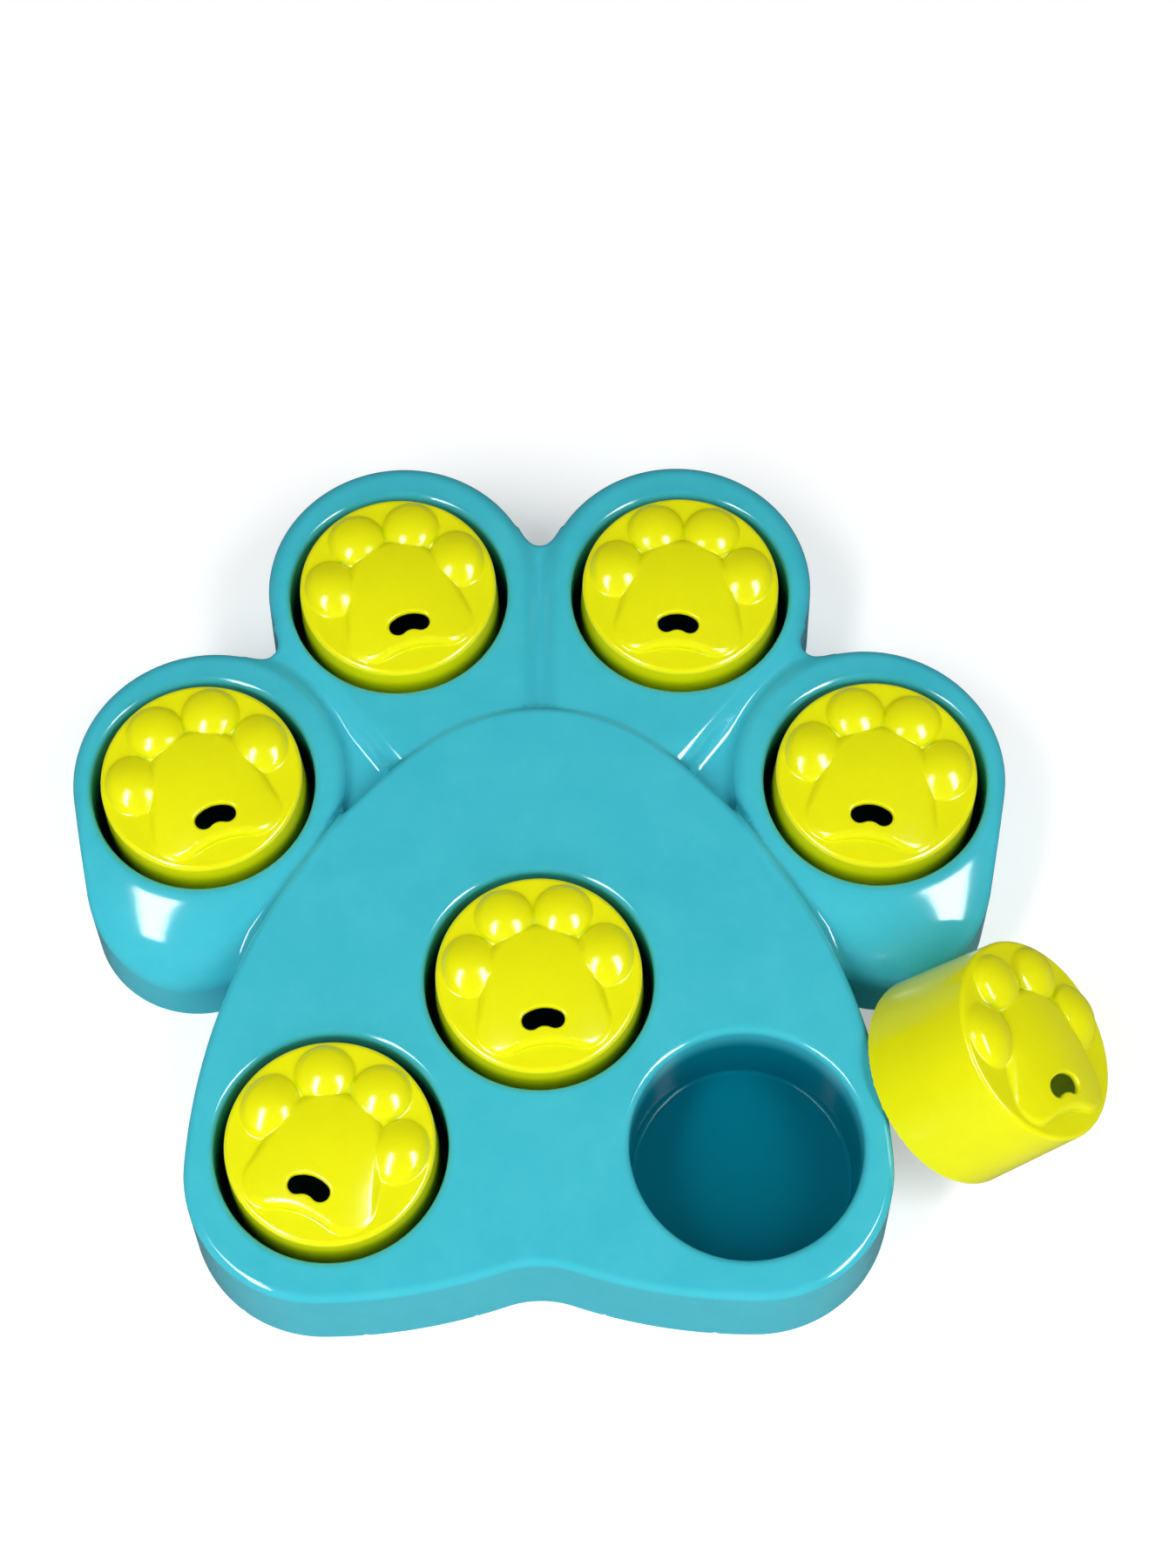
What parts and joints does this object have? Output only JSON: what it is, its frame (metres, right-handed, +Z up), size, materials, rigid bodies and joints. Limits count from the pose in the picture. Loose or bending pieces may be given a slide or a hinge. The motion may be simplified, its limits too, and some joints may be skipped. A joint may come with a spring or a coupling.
{
  "type": "pet puzzle toy",
  "caption": "Paw-shaped slow-feeding puzzle tray with round treat wells, each covered by a lift-off cup lid that has a raised paw and a small treat hole.",
  "frame": {"origin": "on the floor, under the axis of the centre well", "axes": "+Z up, +Y towards the toes, +X to the viewer's right when the toes point away"},
  "size_m": [0.3312, 0.2916, 0.0738],
  "materials": {
    "tray_plastic": "turquoise, glossy, moulded",
    "lid_plastic": "lime yellow, glossy, moulded"
  },
  "bodies": {
    "tray": {"tray": "tray_plastic"},
    "lid_outer_left": {"lid_outer_left": "lid_plastic"},
    "lid_inner_left": {"lid_inner_left": "lid_plastic"},
    "lid_inner_right": {"lid_inner_right": "lid_plastic"},
    "lid_outer_right": {"lid_outer_right": "lid_plastic"},
    "lid_centre": {"lid_centre": "lid_plastic"},
    "lid_front_left": {"lid_front_left": "lid_plastic"},
    "lid_front_right": {"lid_front_right": "lid_plastic"}
  },
  "joints": [
    {"name": "lid_outer_left_lift", "type": "slide", "parent": "tray", "child": "lid_outer_left", "axis": [0, 0, 1], "range_m": [0, 0.06]},
    {"name": "lid_inner_left_lift", "type": "slide", "parent": "tray", "child": "lid_inner_left", "axis": [0, 0, 1], "range_m": [0, 0.06]},
    {"name": "lid_inner_right_lift", "type": "slide", "parent": "tray", "child": "lid_inner_right", "axis": [0, 0, 1], "range_m": [0, 0.06]},
    {"name": "lid_outer_right_lift", "type": "slide", "parent": "tray", "child": "lid_outer_right", "axis": [0, 0, 1], "range_m": [0, 0.06]},
    {"name": "lid_centre_lift", "type": "slide", "parent": "tray", "child": "lid_centre", "axis": [0, 0, 1], "range_m": [0, 0.06]},
    {"name": "lid_front_left_lift", "type": "slide", "parent": "tray", "child": "lid_front_left", "axis": [0, 0, 1], "range_m": [0, 0.06]},
    {"name": "lid_front_right_lift", "type": "slide", "parent": "tray", "child": "lid_front_right", "axis": [0.6294, 0.0818, 0.7727], "range_m": [0, 0.06]}
  ]
}
